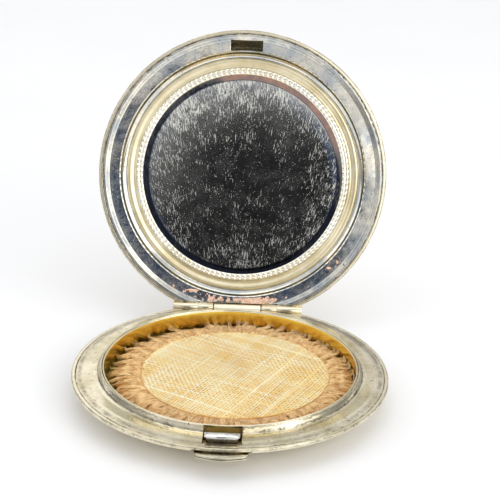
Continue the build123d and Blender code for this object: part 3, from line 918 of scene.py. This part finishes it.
def thumb_tab():
    """The push tab: a bowed front, rounded along its top and bottom edges."""
    half, back, side = THUMB_HIGH.x, THUMB_HIGH.y, THUMB_LOW.y + 1.0
    outline = [(half, back), (-half, back), (-half, side + 1.0)]
    outline += bow((-half, side + 0.9), (-half + 0.55, side + 0.05), (-half + 1.6, side - 0.35), 5)
    outline += bow((-half + 2.2, side - 0.5), (0, THUMB_LOW.y), (half - 2.2, side - 0.5), 14)
    outline += bow((half - 1.6, side - 0.35), (half - 0.55, side + 0.05), (half, side + 0.9), 5)
    groove = THUMB_LOW.z + 0.34
    face = prism("thumb_face", outline, groove + 0.04, THUMB_HIGH.z - 0.1, axis="z")
    applied(face, edge_break(0.22, 5, 50))
    lip = prism("thumb_lip", outline, THUMB_LOW.z, groove - 0.04, axis="z")
    applied(lip, edge_break(0.12, 3, 50))
    inset = [(0.93 * x, y + 0.4) for x, y in outline]
    core = prism("thumb_core", inset, THUMB_LOW.z + 0.1, groove + 0.2, axis="z")
    tab = joined("thumb_tab", [face, lip, core])
    dented(tab, 0.02, 2.5, 31)
    return finished(tab, "latch", METALS["thumb"], ["thumb_piece"])


def cushion(name, outline, half):
    """A bar along x with the (y, z) outline, whose ends round off like a cushion's."""
    centre = Vector((sum(p[0] for p in outline), sum(p[1] for p in outline))) / len(outline)
    points = [Vector(p) - centre for p in eased(outline, 0.2, 4)]
    stations = [half * math.sin(math.radians(a)) for a in np.linspace(-89, 89, 41)]
    verts, count = [], len(points)
    for x in stations:
        size = (1 - abs(x / half) ** 4) ** 0.5
        arch = 0.16 * (1 - (x / half) ** 2)
        verts += [(x, centre.x + size * p.x, centre.y + size * p.y + arch * (p.y > 0)) for p in points]
    faces = [tuple(range(count)), tuple(range(len(verts) - count, len(verts)))]
    obj = new_object(name, verts, faces + bands(len(stations), count))
    face_outwards(obj)
    return obj


def catch():
    """The upright catch: a neck, a thin plate behind and a pillow-shaped head in front."""
    head = [(-31.25, 6.95), (-32.7, 6.95)]
    head += bow((-32.93, 7.12), (-32.85, 7.38), (-32.2, 7.66), 5)
    head += bow((-32.0, 7.69), (-31.7, 7.69), (-31.45, 7.68), 2)
    head += [(-31.25, 7.55)]
    pillow = cushion("head", head, CATCH_HALF)
    neck = prism("neck", [(-31.9, 4.9), (-31.2, 4.9), (-31.2, 7.2), (-31.9, 7.2)], -3.2, 3.2)
    applied(neck, edge_break(0.06, 2))
    upright = [(-31.3, 6.6), (-31.1, 6.6), (-31.1, 7.62), (-31.3, 7.62)]
    plate = prism("plate", upright, -CATCH_HALF, CATCH_HALF)
    applied(plate, edge_break(0.05, 2))
    hook = joined("catch", [pillow, neck, plate])
    dented(hook, 0.015, 2.0, 37)
    return finished(hook, "latch", METALS["catch"], ["catch_hook"])


# ---------------------------------------------------------------- puff


def fleece_pad():
    """The puff's body: a lumpy disc under the strands."""
    low, high, edge = FLEECE_LOW.z, FLEECE_HIGH.z, FLEECE_R
    outline = [(0, low), (edge - 1.6, low)]
    outline += bow((edge - 0.9, low + 0.1), (edge - 0.55, low + 0.6), (edge - 1.2, high - 0.25), 6)
    outline += bow((edge - 2.2, high - 0.05), (edge - 4.0, high), (edge - 6.2, high - 0.03), 6)
    outline += [(0, high - 0.05)]

    def tufts(r, z, angle):
        lock = np.sin(74 * angle + 3 * np.sin(5 * angle) + 0.5 * r) + 0.6 * np.sin(131 * angle + 0.9 * r)
        size = window(r, edge - 5.5, edge + 1, 2.0)
        return 0.22 * lock * size, 0.16 * lock * size * (z > low + 0.6)

    pad = spun("puff_pad", outline, tufts, segments=720, longest=0.45)
    pad.data.transform(Matrix.Translation((FLEECE_CENTRE.x * MM, FLEECE_CENTRE.y * MM, 0)))
    # Painted shade: the pad is the same fleece as the strands, coloured darker as the shade under them.
    finish = fleece_finish("fleece_pad", tint(214, 160, 92), tint(166, 114, 54))
    finished(pad, "puff", finish, ["puff_fleece"])
    return pad


def tube_mesh(name, paths, radii, sides=3):
    """One mesh of thin tapering tubes. paths is (tubes, points, 3) in mm and radii is (tubes, points)."""
    tubes, points, _ = paths.shape
    along = np.gradient(paths, axis=1)
    along /= np.linalg.norm(along, axis=2, keepdims=True) + 1e-9
    side = np.cross(along, np.array([0.0, 0.0, 1.0]))
    side /= np.linalg.norm(side, axis=2, keepdims=True) + 1e-9
    up = np.cross(side, along)
    turn = np.arange(sides) * TAU / sides + math.pi / 2
    ring = side[:, :, None, :] * np.cos(turn)[None, None, :, None]
    ring = ring + up[:, :, None, :] * np.sin(turn)[None, None, :, None]
    verts = paths[:, :, None, :] + ring * radii[:, :, None, None]
    index = np.arange(tubes * points * sides).reshape(tubes, points, sides)
    near, far = index[:, :-1], index[:, 1:]
    quads = np.stack([near, np.roll(near, -1, 2), np.roll(far, -1, 2), far], axis=-1).reshape(-1, 4)
    ends = np.concatenate([index[:, 0, ::-1], index[:, -1]])
    return new_object(name, verts.reshape(-1, 3), quads.tolist() + ends.tolist())


def fleece_strands():
    """Wavy strands in tapering locks, which lie outwards from under the cloth and droop at the wall."""
    rng = np.random.default_rng(4)
    locks, per_lock, points = 250, 17, 10
    count = locks * per_lock
    around = np.arange(locks) * TAU / locks + rng.uniform(-0.012, 0.012, locks)
    t = np.linspace(0, 1, points)[None, :]

    def per_strand(values):
        return np.repeat(values, per_lock)[:, None]

    def loose(low, high):
        return rng.uniform(low, high, count)[:, None]

    drift = 1.5 * np.sin(3 * around + 1.2) + 0.9 * np.sin(7 * around + 0.4) + 0.7 * np.sin(17 * around)
    start = CLOTH_R - 1.8 + per_strand(rng.uniform(0, 3.2, locks)) + loose(-0.5, 0.5)
    length = per_strand(rng.uniform(4.4, 7.6, locks)) + loose(-0.8, 0.8)
    sway = per_strand(drift + rng.uniform(-1.1, 1.1, locks))
    curl = per_strand(rng.uniform(0.18, 0.62, locks))
    phase = per_strand(rng.uniform(0, TAU, locks))
    turns = per_strand(rng.uniform(0.9, 2.0, locks))
    crown = per_strand(rng.uniform(0.0, 0.5, locks))
    spread = loose(-0.62, 0.62) * (1 - 0.6 * t)
    aside = spread + sway * t * t + curl * np.sin(TAU * turns * t + phase) * (0.35 + 0.65 * t)
    aside = aside + loose(-0.14, 0.14) * np.sin(TAU * loose(0.8, 2.4) * t + loose(0, TAU))
    out = start + length * t
    angle = per_strand(around) + aside / out
    lift = crown * np.sin(math.pi * np.clip(t * 1.1, 0, 1)) + loose(-0.12, 0.18)
    lift = lift + 0.12 * np.sin(TAU * turns * t + phase + 1.0)
    height = FLEECE_HIGH.z - 0.05 + lift - 1.1 * t ** 3 * (out > FLEECE_R - 2.0)
    x = FLEECE_CENTRE.x + out * np.cos(angle)
    y = FLEECE_CENTRE.y + out * np.sin(angle)
    from_cloth = np.hypot(x - CLOTH_CENTRE.x, y - CLOTH_CENTRE.y)
    under = np.clip((CLOTH_R + 0.75 - from_cloth) / 0.7, 0, 1)
    height = height * (1 - under) + (FLEECE_HIGH.z - 0.12) * under
    from_axis = np.hypot(x, y)
    inside = np.minimum(1.0, (WELL_R - 0.18) / from_axis)
    height = height + 1.3 * np.clip(from_axis - WELL_R + 0.5, 0, 0.9)
    height = np.clip(height, FLEECE_LOW.z + 0.1, FLEECE_HIGH.z + 0.6)
    paths = np.stack([x * inside, y * inside, height], axis=-1)
    radii = loose(0.055, 0.10) * (1.05 - 0.75 * t ** 3)
    strands = tube_mesh("puff_strands", paths, radii)
    finish = fleece_finish("fleece_strands", tint(255, 222, 162), tint(224, 174, 108))
    return finished(strands, "puff", finish, sharp=180)


def cloth_sag(x, y):
    """The cloth's gentle undulation, in mm, at arrays of points."""
    return 0.05 * np.sin(x / 4.1 + 1.3) * np.cos(y / 5.3 - 0.4) + 0.03 * np.sin((x + y) / 2.7)


def cloth_disc():
    """The ground of the cloth, seen between its threads, coloured darker than them as painted shade."""
    rings, segments = 42, 256
    verts, faces = [(0.0, 0.0)], []
    directions = [(math.cos(TAU * j / segments), math.sin(TAU * j / segments)) for j in range(segments)]
    for i in range(1, rings + 1):
        radius = CLOTH_R * i / rings
        verts += [(radius * x, radius * y) for x, y in directions]
    for j in range(segments):
        faces.append((0, 1 + j, 1 + (j + 1) % segments))
    for i in range(rings - 1):
        near, far = 1 + i * segments, 1 + (i + 1) * segments
        for j in range(segments):
            k = (j + 1) % segments
            faces.append((near + j, far + j, far + k, near + k))
    flat = np.array(verts)
    height = CLOTH_LOW.z + 0.09 + 0.6 * cloth_sag(flat[:, 0], flat[:, 1])
    points = np.column_stack([flat[:, 0] + CLOTH_CENTRE.x, flat[:, 1] + CLOTH_CENTRE.y, height])
    disc = new_object("puff_cloth", points, faces)
    # Painted shade: a darker copy of the thread colours, for the shadows between the threads.
    finish = cloth_finish("cloth_ground", tint(208, 154, 72), tint(180, 124, 46), tint(216, 168, 90))
    return finished(disc, "puff", finish, ["puff_backing"], sharp=180)


def cloth_threads(name, turn, phase, seed, finish):
    """One set of the plain weave's threads, over and under the other set."""
    pitch = 0.64
    rng = np.random.default_rng(seed)
    lanes = np.arange(-int(CLOTH_R / pitch), int(CLOTH_R / pitch) + 1)
    verts, faces = [], []
    section = ((-1.0, 0.0), (-0.55, 0.85), (0.55, 0.85), (1.0, 0.0))
    cos_t, sin_t = math.cos(turn), math.sin(turn)
    for lane in lanes:
        across = lane * pitch + rng.uniform(-0.06, 0.06)
        half = math.sqrt(max(0.0, (CLOTH_R - 0.12) ** 2 - across**2))
        if half < 1.0:
            continue
        steps = int(2 * half / (pitch / 3))
        u = np.linspace(-half, half, steps)
        pulled = 1.6 if rng.random() < 0.05 else 1.0
        width = pulled * rng.uniform(0.14, 0.185)
        width = width * (1 + 0.12 * np.sin(u * rng.uniform(0.5, 1.4) + rng.uniform(0, TAU)))
        slip = 0.05 * np.sin(u / rng.uniform(2.5, 6.0) + rng.uniform(0, TAU))
        wave = np.cos(math.pi * (u / pitch + lane + phase))
        first = len(verts)
        for shift, rise in section:
            v = across + slip + shift * width
            x, y = u * cos_t - v * sin_t, u * sin_t + v * cos_t
            z = CLOTH_LOW.z + 0.155 + 0.055 * wave + 0.06 * rise * pulled + cloth_sag(x, y)
            verts += list(zip(x + CLOTH_CENTRE.x, y + CLOTH_CENTRE.y, z))
        for side in range(3):
            a, b = first + side * steps, first + (side + 1) * steps
            faces += [(a + i, a + i + 1, b + i + 1, b + i) for i in range(steps - 1)]
    threads = new_object(name, verts, faces)
    return finished(threads, "puff", finish, sharp=180)


def cloth_hem():
    """The cloth's cut edge, rolled and stiffened with gum."""
    angle = np.linspace(0, TAU, 361)
    radius = CLOTH_R - 0.12 + 0.06 * wander(angle, 12)
    x, y = radius * np.cos(angle), radius * np.sin(angle)
    z = CLOTH_LOW.z + 0.10 + 0.5 * cloth_sag(x, y)
    path = np.stack([x + CLOTH_CENTRE.x, y + CLOTH_CENTRE.y, z], axis=-1)[None]
    thick = 0.15 + 0.05 * wander(angle, 14)
    hem = tube_mesh("puff_hem", path, thick[None], sides=8)
    finish = cloth_finish("cloth_hem", tint(242, 204, 126), tint(214, 160, 72), tint(252, 226, 160))
    return finished(hem, "puff", finish, sharp=180)


def puff():
    fleece_pad()
    fleece_strands()
    disc = cloth_disc()
    light, deep, glow = tint(253, 232, 168), tint(248, 210, 122), tint(255, 250, 226)
    for name, lean, phase, seed in (("puff_warp", 63, 0.0, 2), ("puff_weft", -29, 1.0, 6)):
        finish = cloth_finish(name + "_thread", light, deep, glow, lean)
        cloth_threads(name, math.radians(lean), phase, seed, finish)
    cloth_hem()


# ---------------------------------------------------------------- powder, lint


def crust(name, patches, finish):
    """Thin irregular crusts of powder on the lid's flange.

    A patch is (x, y, half width, half depth, strength).
    """
    step, height = 0.09, 0.09
    verts, faces, index = [], [], {}

    def thickness(x, y):
        here = 0.0
        for px, py, wide, deep, strength in patches:
            away = ((x - px) / wide) ** 2 + ((y - py) / deep) ** 2
            here = max(here, strength * math.exp(-away))
        coarse = noise.noise(Vector((x * 1.1, y * 1.1, 3.0)))
        fine = noise.noise(Vector((x * 3.1, y * 3.1, 8.0)))
        return here + 0.75 * (coarse + 0.6 * fine) - 0.42

    def usable(x, y):
        radius = math.hypot(x, y)
        return 30.2 < radius < 32.3 and y < RELIEF_FRONT - 0.05

    def corner(i, j):
        if (i, j) not in index:
            x, y = i * step, j * step
            index[i, j] = len(verts)
            rise = max(0.0, min(1.0, thickness(x, y) * 2.2))
            verts.append((x, y, LID_FLANGE + 0.01 - height * rise))
        return index[i, j]

    low_x = min(p[0] - 2 * p[2] for p in patches)
    high_x = max(p[0] + 2 * p[2] for p in patches)
    low_y = min(p[1] - 2 * p[3] for p in patches)
    high_y = max(p[1] + 2 * p[3] for p in patches)
    for i in range(math.floor(low_x / step), math.ceil(high_x / step)):
        for j in range(math.floor(low_y / step), math.ceil(high_y / step)):
            x, y = (i + 0.5) * step, (j + 0.5) * step
            if usable(x, y) and thickness(x, y) > 0:
                faces.append((corner(i, j), corner(i, j + 1), corner(i + 1, j + 1), corner(i + 1, j)))
    layer = new_object(name, verts, faces)
    return finished(layer, "lid", finish, lid=True, sharp=180)


def powder():
    finish = powder_finish("powder_residue", tint(252, 230, 212), tint(232, 168, 130))
    hinge_side = [
        (4.6, 30.7, 4.4, 1.15, 1.1),
        (8.2, 30.3, 1.8, 0.7, 0.8),
        (0.2, 30.5, 2.6, 0.8, 0.8),
        (-5.5, 30.6, 4.2, 0.8, 0.72),
        (-11.5, 28.9, 2.8, 0.7, 0.55),
    ]
    crust("powder_residue_hinge", hinge_side, finish)
    crust("powder_residue_spots", [(22.2, 21.8, 0.55, 0.4, 1.1), (23.9, 20.4, 0.35, 0.4, 1.1)], finish)


def lint():
    """A loose pink fibre that stands against the well's wall."""
    t = np.linspace(0, 1, 9)
    path = np.stack([27.3 + 0.15 * np.sin(3 * t), -0.6 + 0.7 * t, 3.4 + 2.7 * t], axis=-1)[None]
    fibre = tube_mesh("lint", path, np.full((1, 9), 0.11), sides=6)
    finish = fleece_finish("pink_lint", tint(250, 224, 214), tint(240, 200, 190))
    return finished(fibre, "base", finish, sharp=180)


# ---------------------------------------------------------------- CAD pieces that stay


def carried_over():
    """The CAD pieces that stay keep their shape and get a real finish."""
    finishes = {
        "powder_cake": powder_finish("pressed_powder", tint(236, 190, 160), tint(222, 168, 136)),
        "powder_pan": METALS["tin"],
        "hinge_leaf_base": METALS["hinge"],
        "hinge_leaf_lid": METALS["hinge"],
        "hinge_pin": METALS["steel"],
        "latch_guide": METALS["slide"],
        "latch_slide": METALS["slide"],
        "latch_spring": METALS["steel"],
        "mirror_card": card_finish(),
    }
    for name, material in finishes.items():
        mesh = frame["nodes"][name].data
        mesh.materials.clear()
        mesh.materials.append(material)


# ---------------------------------------------------------------- studio


def studio_finish(name, colour):
    m = Finish(name)
    shade = m.steps(m.noise(60.0, 2, 0.5), 0.3, 0.7)
    tone = m.mix(shade, colour, tuple(0.985 * c for c in colour[:3]) + (1.0,))
    return m.finish(base_color=tone, roughness=0.9)


def plane(name, outline, matrix, material):
    obj = new_object(name, [(x, y, 0) for x, y in outline], [tuple(range(len(outline)))])
    obj.data.materials.append(material)
    obj.matrix_world = matrix
    return obj


def look(place, target, roll=0.0):
    """A matrix at place whose -Z looks at target."""
    turn = (Vector(target) - Vector(place)).to_track_quat("-Z", "Y").to_matrix().to_4x4()
    return Matrix.Translation(place) @ turn @ Matrix.Rotation(roll, 4, "Z")


def soft_light(name, place, target, size, power, colour=(1, 1, 1)):
    lamp = bpy.data.lights.new(name, "AREA")
    lamp.shape = "RECTANGLE"
    lamp.size, lamp.size_y = size
    lamp.energy = power
    lamp.color = colour
    obj = bpy.data.objects.new(name, lamp)
    SCENE.collection.objects.link(obj)
    obj.matrix_world = look(place, target)
    return obj


CAMERA_PLACE = Vector((11.07, -264.04, 139.94)) * MM
CAMERA_FORWARD = Vector((-0.02541, 0.92862, -0.37015)).normalized()
CAMERA_ROLL = math.radians(1.619)


def camera():
    lens = bpy.data.cameras.new("camera")
    lens.sensor_width = 36
    lens.lens = 95.83
    lens.shift_x = -0.002
    lens.clip_start, lens.clip_end = 0.01, 60
    eye = bpy.data.objects.new("camera", lens)
    SCENE.collection.objects.link(eye)
    eye.matrix_world = look(CAMERA_PLACE, CAMERA_PLACE + CAMERA_FORWARD, CAMERA_ROLL)
    SCENE.camera = eye


def dark_card(name, size, sideways, nearer, colour):
    """The dark camera and the clothes behind it, which the mirror sees. Only reflections show them."""
    outline = []
    for a in np.linspace(0, TAU, 72, endpoint=False):
        reach = size - sideways * math.cos(a) - 3.2 * math.sin(a) - 1.8 * math.sin(2 * a)
        outline.append((reach * math.cos(a), reach * math.sin(a)))
    centre = CAMERA_PLACE + Vector((-22, -12 + nearer, 4)) * MM
    card = plane(name, outline, look(centre, centre + CAMERA_FORWARD), studio_finish(name, colour))
    card.visible_camera = False
    card.visible_diffuse = False
    card.visible_shadow = False
    return card


def studio():
    SCENE.view_settings.view_transform = "Standard"
    world = bpy.data.worlds.new("studio")
    world.use_nodes = True
    tree = world.node_tree
    sky = tree.nodes["Background"]
    sky.inputs["Strength"].default_value = 0.78
    split = tree.nodes.new("ShaderNodeSeparateXYZ")
    tree.links.new(tree.nodes.new("ShaderNodeTexCoord").outputs["Generated"], split.inputs[0])
    ramp = tree.nodes.new("ShaderNodeValToRGB")
    tree.links.new(split.outputs["Z"], ramp.inputs["Fac"])
    tree.links.new(ramp.outputs["Color"], sky.inputs["Color"])
    low, high = ramp.color_ramp.elements
    low.position, low.color = 0.05, (0.36, 0.36, 0.38, 1.0)
    high.position, high.color = 0.9, (1.08, 1.1, 1.14, 1.0)
    ramp.color_ramp.elements.new(0.42).color = (1.0, 1.0, 1.02, 1.0)
    SCENE.world = world
    side = 16000
    corners = [(-side, -side), (side, -side), (side, side), (-side, side)]
    plane("floor", corners, Matrix.Identity(4), studio_finish("pale_floor", tint(250, 250, 250)))
    target = (0, 0.01, 0.02)
    soft_light("overhead", (0.0, 0.1, 0.75), target, (0.7, 0.6), 0.9, (1.0, 0.98, 0.95))
    soft_light("left", (-0.7, -0.25, 0.45), target, (0.4, 0.5), 0.5)
    soft_light("right", (0.7, -0.35, 0.45), target, (0.6, 0.6), 1.6)
    soft_light("back", (-0.45, 1.1, 0.5), target, (1.1, 0.9), 1.1, (1.0, 0.98, 0.95))
    soft_light("front", (0.58, -0.95, 0.45), target, (1.05, 0.9), 2.8, (1.0, 0.98, 0.95))
    dark_card("dark_card", 50, 1.4, 2, tint(10, 10, 13))
    dark_card("navy_card", 63.3, 5, 0, tint(54, 68, 94))


# ---------------------------------------------------------------- build

camera()
studio()
base_case()
base_flange()
well()
lid_case()
lid_flange()
mirror_moulding()
milled_bezel()
mirror()
knuckles()
thumb_tab()
catch()
puff()
powder()
lint()
carried_over()
